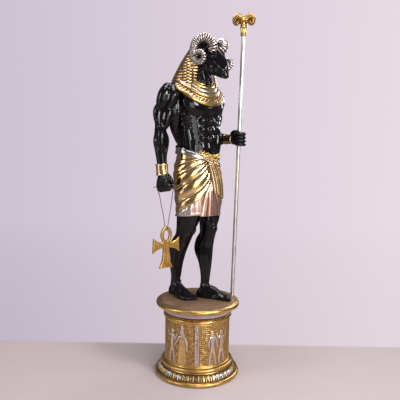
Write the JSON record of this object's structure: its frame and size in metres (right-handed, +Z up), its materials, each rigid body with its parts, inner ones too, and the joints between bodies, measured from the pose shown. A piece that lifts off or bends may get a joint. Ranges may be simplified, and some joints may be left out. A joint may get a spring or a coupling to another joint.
{
  "type": "statue",
  "caption": "Standing ram-headed Egyptian figure in black and gold with a tall ram staff and a hanging ankh, on a round gilt plinth with relief panels",
  "frame": {"origin": "centre of the plinth's underside, on the ground", "axes": "+Z up, the figure faces -Y, its right hand is on -X"},
  "size_m": [0.6275, 0.5728, 2.4],
  "materials": {
    "black lacquer": "gloss black lacquer on cast resin, with gilt and silvered cloth, collar and horns",
    "gold leaf": "gold leaf with a brown wash in the recesses, on cast resin",
    "silver leaf": "satin silver leaf",
    "finial gold": "gold leaf with a brown wash",
    "cross gold": "satin gold paint with worn edges",
    "brown cord": "twisted brown cord"
  },
  "bodies": {
    "root": {"figure": "black lacquer", "plinth": "gold leaf", "staff_rod": "silver leaf", "staff_finial": "finial gold", "ankh": "cross gold", "ankh_cord": "brown cord"}
  },
  "joints": []
}
